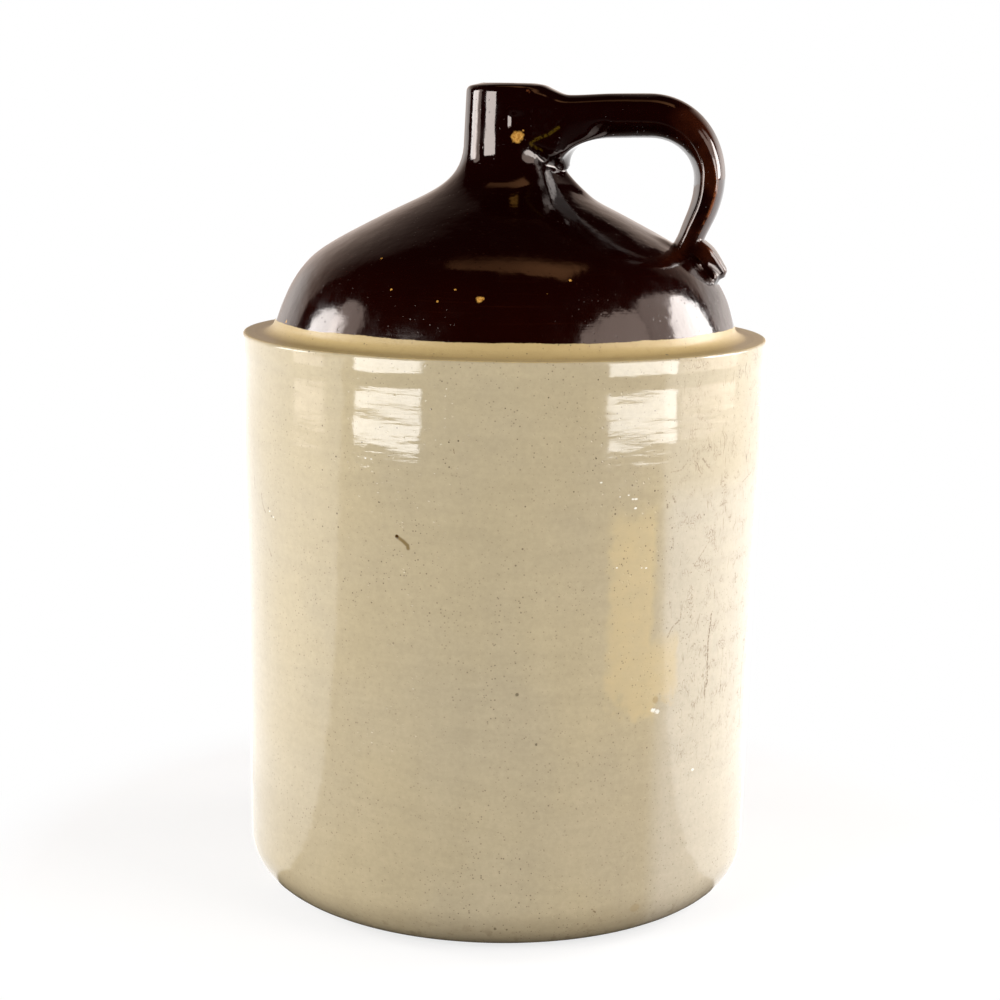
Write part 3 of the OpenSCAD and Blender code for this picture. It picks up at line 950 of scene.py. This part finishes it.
def narrowed(azimuth, height, share):
    """A mark's wall coordinates where length round the wall is shortened to a share."""
    x, y, _ = on_wall(azimuth, height)
    return x * share, y, 0


def zones(n, place, z):
    """Shares of brown and cream glaze, with slightly uneven edges; the rest is bare clay."""
    wave = n.less(n.noise(place, 0.035, 3), 0.5)
    fine = n.less(n.noise(place, 0.7, 2), 0.5)
    brown_z = n.fma(wave, 2.2, n.fma(fine, 0.5, z))
    cream_z = n.fma(wave, 1.0, n.fma(fine, 0.8, z))
    brown = n.ramp(brown_z, BROWN_FOOT - 0.25, BROWN_FOOT + 0.25)
    cream = n.ramp(cream_z, CREAM_TOP + 0.25, CREAM_TOP - 0.25)
    bare = n.ramp(n.fma(wave, 2.0, z), BARE_FOOT + 0.4, BARE_FOOT - 0.4)
    return brown, n.times(cream, n.less(1.0, bare))


def cream_colour(n, place, wall, z, azimuth):
    """Cream with drips, smears, painted shade that leaves the top darker than the bottom, painted
    sheen that whitens both sides (partly worn glaze on the right), the stain and its marks.
    """
    colour = n.mix(n.patches(place, 0.012, 3, 0.35, 0.65), CREAM, CREAM_COOL)
    drips = n.grain(place, 0.05, 0.006, 2)
    mottle = n.noise(place, 0.35, 3, 0.7)
    smears = n.grain(place, 0.03, 0.13, 3, 0.6)
    # painted shade: the height ramp makes the cream lighter towards the bottom and darker towards the
    # top, as the light falls
    level = n.times(n.fma(drips, 0.14, 0.93), n.fma(n.ramp(z, 60, 290), -0.1, 1.06),
                    n.fma(mottle, 0.24, 0.88), n.fma(smears, 0.16, 0.92))
    # painted sheen: both sides paler where the glaze's grazing reflection whitens it, more so low
    # down; on the right also partly worn glaze
    sheen_and_wear = n.most([n.band(azimuth, *WORN_AND_SHEEN), n.times(n.ramp(azimuth, *SHEEN_FAR), 0.6)])
    colour = n.paint(colour, (CREAM_SHEEN_AND_WEAR, sheen_and_wear, n.fma(n.ramp(z, 258, 236), 0.6, 0.3)))
    pink = n.spot(wall, on_wall(*PINK), 8, 24, n.noise(wall, 0.09, 2))
    colour = n.paint(n.tint(colour, level), (STAIN, stain_mask(n, wall), 1), (STAIN_PINK, pink, 0.5))
    marks = [*speck_layers(n, place, z), *crack_layers(n, wall, z, azimuth),
             *scratch_layers(n, wall), *spot_layers(n, wall), *foot_layers(n, place, z)]
    return n.paint(colour, *marks)


def stain_mask(n, wall):
    """The yellow stain right of the middle: a tall patch with straight sides and a wider foot."""
    rag = n.less(n.noise(wall, 0.09, 3, 0.6), 0.5)
    x, y, _ = n.split(wall)
    x, y = n.fma(rag, 9.0, x), n.fma(rag, 30.0, y)
    masks = []
    for left, right, low, top in STAIN_PARTS:
        a, b = on_wall(left, low)[0], on_wall(right, low)[0]
        masks.append(n.times(n.band(x, a - 4, a + 4, b - 2.5, b + 2.5),
                             n.band(y, low - 5, low + 5, top - 9, top + 9)))
    return n.times(n.most(masks), n.fma(rag, 0.8, 0.62))


def speck_layers(n, place, z):
    """Iron specks in the cream glaze: many faint ones and some dark ones."""
    crowd = n.patches(place, 0.02, 2, 0.35, 0.7)
    faint = n.times(n.speckle(place, 0.5, 0.42, 0.8), n.fma(crowd, 0.6, 0.25))
    dark = n.times(n.speckle(place, 0.21, 0.5, 0.5), n.fma(n.ramp(z, 120, 300), 0.6, 0.3))
    return (SPECK, faint, 0.75), (SPECK, dark, 1)


def crack_layers(n, wall, z, azimuth):
    """The web of cracks and the fine hairs on the right side."""
    side = n.times(n.band(azimuth, *CRACKED), n.ramp(z, 60, 130), 0.65)
    bent = n.vector("ADD", wall, n.scaled(n.noise(wall, 0.08, 3, output="Color"), 9, 9, 0))
    cells = {"Vector": n.scaled(bent, 0.16, 0.05, 1)}
    web = n.add("ShaderNodeTexVoronoi", cells, feature="DISTANCE_TO_EDGE").outputs["Distance"]
    crack = n.times(n.ramp(web, 0.06, 0.015), n.patches(wall, 0.11, 2, 0.5, 0.64))
    hair = n.noise(n.scaled(bent, 0.9, 0.06, 1), 1.0, 3)
    hair = n.times(n.ramp(hair, 0.62, 0.7), n.patches(wall, 0.05, 2, 0.42, 0.58))
    return (SCRATCH, crack, side), (SCRATCH, hair, side)


def scratch_layers(n, wall):
    """Long scratches, with shaken and broken lines."""
    shaken = n.vector("ADD", wall, n.scaled(n.noise(wall, 0.5, 2, output="Color"), 1.6, 0.8, 0))
    shaken = n.vector("SUBTRACT", shaken, (0.8, 0.4, 0))
    broken = n.patches(wall, 0.8, 2, 0.35, 0.55)
    for *points, half, strength in SCRATCHES:
        line = n.stroke(shaken, [on_wall(*p) for p in points], half)
        yield SCRATCH, n.times(line, broken), strength


def spot_layers(n, wall):
    """Dark spots, white nicks and painted glints, two tan spots and the worm-shaped mark."""
    wobble = n.noise(wall, 1.2)
    spots = [n.spot(wall, on_wall(a, h), 1.3 * size, size, wobble) for a, h, size in SPOTS]
    flat = n.scaled(wall, NICK_NARROW, 1, 1)
    nicks_and_glints = [n.spot(flat, narrowed(a, h, NICK_NARROW), 1.2 * size, size, wobble)
             for a, h, size in NICKS_AND_GLINTS]
    oval = n.spot(n.scaled(wall, OVAL_NARROW, 1, 1), narrowed(*TAN_OVAL, OVAL_NARROW), 2.6)
    return ((SPECK, n.most(spots), 0.7), (NICK_AND_GLINT_WHITE, n.most(nicks_and_glints), 1),
            (CLAY_DARK, n.spot(wall, on_wall(*TAN_NICK), 2.8, 1.5, wobble), 0.5),
            (CLAY_DARK, oval, 0.3),
            (WORM_TAN, n.stroke(wall, [on_wall(*p) for p in WORM], 1.0), 0.85),
            (WORM_HEAD, n.spot(wall, on_wall(*WORM[0]), 1.0), 1))


def foot_layers(n, place, z):
    """The browner glaze and the grime near the foot."""
    foot = n.times(n.ramp(z, 34, 6), n.noise(place, 0.12, 4, 0.65))
    grime = n.times(n.ramp(z, 22, 8), n.patches(place, 0.16, 3, 0.55, 0.7))
    return (FOOT_TAN, foot, 0.45), (GRIME, grime, 0.35)


def brown_colour(n, place, up, ridge):
    """Near-black brown with warm and thin places, gold flecks and the olive line."""
    low = n.times(n.ramp(up, 62, 4), n.fma(n.noise(place, 0.05, 4), 1.0, 0.2))
    handle = n.times(n.ramp(n.split(place)[0], 88, 102), n.ramp(up, 36, 48))
    warm = n.times(handle, n.patches(place, 0.06, 2, 0.3, 0.6))
    thin = n.times(n.ramp(ridge, 0.1, 0.26), n.patches(place, 0.25, 3, 0.38, 0.6))
    lines = n.grain(place, 0.02, 1.1, 3)
    lines = n.times(n.ramp(lines, 0.6, 0.75), n.ramp(up, 60, 20))
    wobble = n.noise(place, 0.7, 3)
    flecks = [n.spot(place, on_dome(*at), 1.5 * size, size, wobble) for *at, size in FLECKS]
    gold = n.mix(n.patches(place, 1.4, 3, 0.35, 0.6), GOLD_DARK, GOLD)
    *patch_at, patch_size = LIP_PATCH
    patch = n.spot(place, on_dome(*patch_at), patch_size, 2.5, wobble)
    olive = n.stroke(place, [on_dome(*p) for p in OLIVE_LINE], 0.9)
    olive = n.times(olive, n.ramp(wobble, 0.36, 0.56))
    return n.paint(n.mix(low, BROWN, BROWN_LOW),
                   (BROWN_WARM, warm, 0.7), (RIDGE_TAN, thin, 0.8), (BROWN_WARM, lines, 0.25),
                   (gold, n.most(flecks), 1), (DOT_TAN, n.speckle(place, 0.12, 0.34, 0.1), 1),
                   (RIDGE_TAN, patch, 0.7), (OLIVE, olive, 0.7))


def clay_colour(n, place, up, radius):
    """Bare clay, with painted shade on the ledge beside the dome's foot, and darker in specks."""
    # painted shade: the inner edge of the ledge, in the corner where it meets the dome's foot, is
    # darkened
    inner = n.times(n.ramp(radius, 142.2, 140.6), n.ramp(up, -6, -4))
    groove = n.times(n.ramp(n.size(n.less(radius, 141.0)), 0.9, 0.2),
                     n.ramp(up, -3, -1), n.patches(place, 0.06, 2, 0.3, 0.6))
    rings = n.grain(place, 0.01, 1.5, 2)
    mottle = n.patches(place, 0.25, 5, 0.45, 0.85, 0.7)
    speck = n.spot(n.scaled(place, 1, 1, 0), (*LEDGE_SPECK, 0), 1.0)
    colour = n.paint(CLAY, (CLAY_DARK, inner, 0.35), (CLAY_DARK, groove, 0.3))
    return n.paint(n.tint(colour, n.fma(rings, 0.1, 0.95)), (CLAY_DARK, mottle, 1),
                   (SPECK, n.speckle(place, 0.4, 0.42, 0.45), 0.7), (SPECK, speck, 1))


def neck_dent(n, place):
    """A thumb's dent on the camera's side of the neck: one side is steep, the other runs out."""
    x, y, z = n.split(place)
    left, middle, right = DENT_X
    off = n.size(n.less(z, LEDGE_H + DENT_UP))
    return n.times(n.band(x, left, middle, middle, right),
                   n.ramp(off, DENT_HALF * 1.3, DENT_HALF * 0.4), n.ramp(y, -10, -15))


def peel_and_pits(n, place, depth, height):
    """Adds the fine orange peel and the round pits that both glazes have."""
    height = n.fma(n.noise(place, 1.2, 1), 0.008, height)
    return n.fma(n.speckle(place, 0.36, 0.5, 0.5), -depth, height)


def brown_height(n, place, up):
    """Relief of the brown glaze in millimetres: throwing lines, dimples, peel, pits and chips."""
    lines = n.grain(place, 0.015, 0.75, 2, 0.6)
    height = n.times(lines, 0.018, n.ramp(up, 80, 40))
    height = n.fma(n.noise(place, 0.09, 2), 0.2, height)
    height = peel_and_pits(n, place, 0.045, height)
    chips = [n.spot(place, on_dome(*at), size) for *at, size in FLECKS if size > 1.5]
    height = n.fma(n.most(chips), -CHIP_DEPTH, height)
    return n.fma(neck_dent(n, place), -DENT_DEPTH, height)


def cream_height(n, place, wall):
    """Relief of the cream glaze in millimetres: soft waves, ripples, peel, pits and chips."""
    waves = n.grain(place, 0.02, 0.075, 1)
    ripple = n.grain(place, 0.05, 0.3, 2)
    height = peel_and_pits(n, place, 0.07, n.fma(ripple, 0.1, n.times(waves, 0.4)))
    chips = [n.spot(wall, on_wall(a, h), size) for a, h, size in NICKS_AND_GLINTS if size > 1]
    return n.fma(n.most(chips), -CHIP_DEPTH, height)


def coat(n, colour, rough, glass, tint, height):
    """One surface of the jug; its relief is in millimetres."""
    bump = n.add("ShaderNodeBump", {"Distance": MM, "Height": height})
    inputs = {"Base Color": colour, "Roughness": rough, "IOR": glass, "Specular Tint": tint,
              "Normal": bump.outputs[0]}
    return n.add("ShaderNodeBsdfPrincipled", inputs).outputs[0]


def stoneware():
    """Cream glaze below, bare clay on the ledge and foot, and a dark brown glaze above."""
    mat = bpy.data.materials.new("stoneware")
    n = Nodes(mat)
    place = n.scaled(n.add("ShaderNodeTexCoord").outputs["Object"], 1 / MM, 1 / MM, 1 / MM)
    x, y, z = n.split(place)
    up = n.less(z, LEDGE_H)
    azimuth = n.math("ARCTAN2", y, x)
    wall = n.add("ShaderNodeCombineXYZ", {0: n.times(azimuth, WALL_R), 1: z}).outputs[0]
    radius = n.vector("LENGTH", n.scaled(place, 1, 1, 0))
    ridge = n.add("ShaderNodeAttribute", attribute_name="ridge").outputs["Fac"]
    brown, cream = zones(n, place, z)
    smear = n.patches(place, 0.09, 3, 0.35, 0.75, 0.6)
    rough = n.fma(smear, 0.09, 0.045)
    dome_rough = n.fma(n.ramp(up, 85, 50), 0.03, rough)
    bare_coat = coat(n, clay_colour(n, place, up, radius), CLAY_ROUGH, CLAY_GLASS, PURE_WHITE,
                     n.times(n.noise(place, 1.2, 2), 0.12))
    cream_coat = coat(n, cream_colour(n, place, wall, z, azimuth), rough, CREAM_GLASS, PURE_WHITE,
                      cream_height(n, place, wall))
    brown_coat = coat(n, brown_colour(n, place, up, ridge), dome_rough, BROWN_GLASS, BROWN_TINT,
                      brown_height(n, place, up))
    lower = n.blend(cream, bare_coat, cream_coat)
    n.add("ShaderNodeOutputMaterial", {"Surface": n.blend(brown, lower, brown_coat)})
    return mat


# Camera and studio in metres; the camera was fitted to the photograph's outline of the jug
CAMERA_TURN = math.radians(10)
CAMERA_FAR = 1.1699
CAMERA_HIGH = 0.436
CAMERA_SIDE = -0.00103
CAMERA_PITCH = math.radians(10.44)
CAMERA_ROLL = math.radians(0.92)
SENSOR = 36
CAMERA_LENS = 2.0542 * SENSOR
BACK = Vector((-math.sin(CAMERA_TURN), math.cos(CAMERA_TURN), 0))
SIDE = Vector((math.cos(CAMERA_TURN), math.sin(CAMERA_TURN), 0))
UP = Vector((0, 0, 1))
MIDDLE_H = 0.35
FLOOR_HALF = 20
WARM_LAMP = (1.0, 0.87, 0.8)
CEILING = (0.66, 0.33, 0.15, 1)
GLOOM = (0.012, 0.004, 0.003, 1)
SHEET_DIM, SHEET_BRIGHT = (1.3, 1, 0.83, 1), (1.08, 1, 0.95, 1)
FLOOR_PALE, FLOOR_FRONT = (0.8, 0.8, 0.8, 1), (0.3, 0.29, 0.28, 1)
FLOOR_SEEN_IN_GLAZE = (0.05, 0.05, 0.05, 1)


def studio_point(azimuth, far, high):
    """A point of the studio: its azimuth is counted from the camera's side, to the right."""
    t = math.radians(azimuth)
    return SIDE * (far * math.sin(t)) - BACK * (far * math.cos(t)) + UP * high


def place_camera():
    """The photograph's view, from its height, distance and lens."""
    cam = bpy.data.cameras.new("camera")
    cam.lens = CAMERA_LENS
    cam.sensor_width = SENSOR
    cam.clip_end = 100
    obj = add_object("camera", cam)
    obj.location = SIDE * CAMERA_SIDE - BACK * CAMERA_FAR + UP * CAMERA_HIGH
    look = BACK * math.cos(CAMERA_PITCH) - UP * math.sin(CAMERA_PITCH)
    turn = look.to_track_quat("-Z", "Y").to_matrix() @ Matrix.Rotation(CAMERA_ROLL, 3, "Z")
    obj.rotation_euler = turn.to_euler()
    bpy.context.scene.camera = obj


def lamp_share(azimuth, elevation, azimuths, heights, far):
    """Where a direction from the jug's middle meets a flat lamp, as shares of its width and height."""
    off = math.radians(azimuth - sum(azimuths) / 2)
    half = math.radians(azimuths[1] - azimuths[0]) / 2
    high = MIDDLE_H + far / math.cos(off) * math.tan(math.radians(elevation))
    share = (high - heights[0]) / (heights[1] - heights[0])
    return 0.5 + math.tan(off) / (2 * math.tan(half)), share


def softbox(name, azimuths, heights, far, radiance, colour=(1, 1, 1), fade=(0.03, 0.03),
            top=None, gap=None):
    """A flat lamp that faces the jug between two azimuths and two heights.

    It fades in from its sides. top is its upper edge and gap the middle of a dark slit across it,
    both as (azimuth, elevation) pairs.
    """
    lamp = bpy.data.lights.new(name, "AREA")
    lamp.shape = "RECTANGLE"
    half = math.radians(azimuths[1] - azimuths[0]) / 2
    lamp.size = 2 * far * math.tan(half)
    lamp.size_y = heights[1] - heights[0]
    lamp.energy = radiance * math.pi * lamp.size * lamp.size_y
    lamp.color = colour
    n = Nodes(lamp)
    x, y, _ = n.split(n.add("ShaderNodeNewGeometry").outputs["Parametric"])
    share = n.times(n.band(x, 0, fade[0], 1 - fade[1], 1), n.band(y, 0, 0.03, 0.97, 1))
    if top:
        edge = n.line(x, [lamp_share(*p, azimuths, heights, far) for p in top])
        share = n.times(share, n.ramp(n.less(y, edge), 0.03, -0.03))
    if gap:
        low, high = [lamp_share(*p, azimuths, heights, far) for p in gap]
        lean = (high[0] - low[0]) / (low[1] - high[1])
        off = n.size(n.less(n.fma(y, lean, x), low[0] + low[1] * lean))
        share = n.times(share, n.ramp(off, 0.04, 0.08))
    glow = n.add("ShaderNodeEmission", {"Strength": share})
    n.add("ShaderNodeOutputLight", {"Surface": glow.outputs[0]})
    obj = add_object(name, lamp)
    middle = (azimuths[0] + azimuths[1]) / 2
    obj.location = studio_point(middle, far, (heights[0] + heights[1]) / 2)
    look = -studio_point(middle, far, 0)
    obj.rotation_euler = look.to_track_quat("-Z", "Y").to_euler()
    obj.visible_camera = False


def lamps():
    """The window-like lamps at both sides, with their panels and bright rims."""
    softbox("left", (-62.5, -32.5), (0.13, 0.87), 1.15, 10.2)
    softbox("right", (42, 75), (0.13, 0.78), 1.15, 9.2)
    softbox("right_high", (37, 77), (0.78, 1.3), 1.15, 2.5, WARM_LAMP,
            top=((37, 29), (55, 36), (77, 32.5)))
    softbox("left_panel", (-97, -78), (0.11, 1.15), 1.3, 2.1, WARM_LAMP,
            top=((-97, 28), (-91, 31), (-84, 31), (-78, 27)))
    softbox("left_rim", (-111, -85), (0.42, 1.0), 1.29, 10.0, fade=(0.03, 0.3),
            top=((-111, 15), (-105, 21), (-98, 23), (-85, 23)))
    softbox("right_panel", (77, 115), (0.11, 1.4), 1.3, 1.9, WARM_LAMP,
            top=((77, 33), (85, 38), (95, 37), (105, 33), (115, 26)))
    softbox("right_rim", (92, 126), (0.42, 1.1), 1.29, 10.0,
            top=((92, 22), (108, 29), (113, 26), (118, 20), (126, 9)), gap=((126, 8), (113, 35)))


# The sheet behind the jug: its brightness by rise, the height of a direction over its depth
SHEET = ((-0.1, 1.35), (0.15, 1.35), (0.25, 1.12), (0.35, 0.86), (0.45, 0.6), (0.55, 0.41),
         (0.65, 0.3), (0.75, 0.22), (0.85, 0.15), (0.95, 0.12), (1.05, 0.085), (1.15, 0.06),
         (1.25, 0.03), (1.35, 0.0))


def sheet_light(n, back, side, up):
    """The white sheet behind, brighter at its right and ending at a slanting roof."""
    behind = n.math("MAXIMUM", back, 0.001)
    rise, across = n.over(up, behind), n.over(side, behind)
    aside = n.ramp(n.size(across), 0.2, 0.75)
    roof = n.fma(n.size(n.less(across, 0.42)), 1.58, 0.4)
    lift = n.fma(n.ramp(rise, 0.3, 0.8), -0.5, 1.25)
    lift = n.times(lift, n.ramp(n.less(rise, roof), 0.1, 0))
    lift = n.fma(n.less(lift, 1.0), n.ramp(across, 0.0, 0.2), 1.0)
    sheet = n.times(n.line(rise, SHEET), n.fma(aside, 0.5, 0.5),
                    n.band(across, -1.38, -1.31, 1.07, 1.14), lift)
    return n.tint(n.mix(n.ramp(sheet, 0.2, 1.2), SHEET_DIM, SHEET_BRIGHT), sheet)


def ceiling_light(n, back, side, up):
    """The warm ceiling, brighter at its right."""
    high = n.math("MAXIMUM", up, 0.001)
    x, y = n.over(side, high), n.over(back, high)
    near_edge = n.fma(x, -0.36, 0.035)
    ceiling = n.times(n.ramp(n.less(y, near_edge), -0.01, 0.02), n.ramp(y, 0.44, 0.16),
                      n.band(x, -0.27, -0.24, 0.35, 0.39), n.ramp(up, 0.1, 0.3),
                      n.fma(n.ramp(x, -0.1, 0.3), 0.65, 0.65))
    return n.tint(CEILING, ceiling)


def world():
    """White for the camera; for the glaze a white sheet behind, a dark front and a warm ceiling."""
    space = bpy.data.worlds.new("studio")
    bpy.context.scene.world = space
    n = Nodes(space)
    way = n.add("ShaderNodeTexCoord").outputs["Generated"]
    back, side, up = [n.vector("DOT_PRODUCT", way, tuple(v)) for v in (BACK, SIDE, UP)]
    colour = n.mix(1.0, ceiling_light(n, back, side, up), GLOOM, "ADD")
    colour = n.mix(1.0, colour, sheet_light(n, back, side, up), "ADD")
    seen = n.add("ShaderNodeLightPath").outputs["Is Camera Ray"]
    glow = n.add("ShaderNodeBackground", {"Color": n.mix(seen, colour, PURE_WHITE)})
    n.add("ShaderNodeOutputWorld", {"Surface": glow.outputs[0]})


def floor_material():
    """Pale table that keeps the jug's shadow; the glaze sees it white except towards the camera."""
    mat = bpy.data.materials.new("floor")
    n = Nodes(mat)
    place = n.add("ShaderNodeTexCoord").outputs["Object"]
    far = n.vector("LENGTH", place)
    rays = n.add("ShaderNodeLightPath").outputs
    seen, mirrored = rays["Is Camera Ray"], rays["Is Glossy Ray"]
    towards = n.vector("DOT_PRODUCT", place, tuple(-BACK))
    front = n.ramp(n.over(towards, n.math("MAXIMUM", far, 0.001)), 0.31, 0.36)
    shade = n.mix(front, FLOOR_PALE, n.mix(mirrored, FLOOR_FRONT, FLOOR_SEEN_IN_GLAZE))
    lit = n.add("ShaderNodeBsdfDiffuse", {"Color": n.mix(seen, shade, PURE_WHITE)})
    white = n.add("ShaderNodeEmission", {"Strength": n.fma(mirrored, 0.6, 1.0)})
    hidden = n.times(front, n.less(1.0, seen))
    fade = n.math("MAXIMUM", n.ramp(far, 0.14, 0.34), 0.72)
    share = n.times(fade, n.math("MAXIMUM", seen, mirrored), n.less(1.0, hidden))
    n.add("ShaderNodeOutputMaterial", {"Surface": n.blend(share, lit.outputs[0], white.outputs[0])})
    return mat


def stage():
    """The floor: a square of FLOOR_HALF metres each way."""
    corners = [(x * FLOOR_HALF, y * FLOOR_HALF, 0) for x, y in ((-1, -1), (1, -1), (1, 1), (-1, 1))]
    mesh = bpy.data.meshes.new("floor")
    mesh.from_pydata(corners, [], [(0, 1, 2, 3)])
    mesh.materials.append(floor_material())
    floor = add_object("floor", mesh)


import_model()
jug = build_jug()
jug.data.materials.append(stoneware())
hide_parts("jug")
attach(jug, "root")
place_camera()
lamps()
world()
stage()
bpy.context.scene.view_settings.view_transform = "Standard"
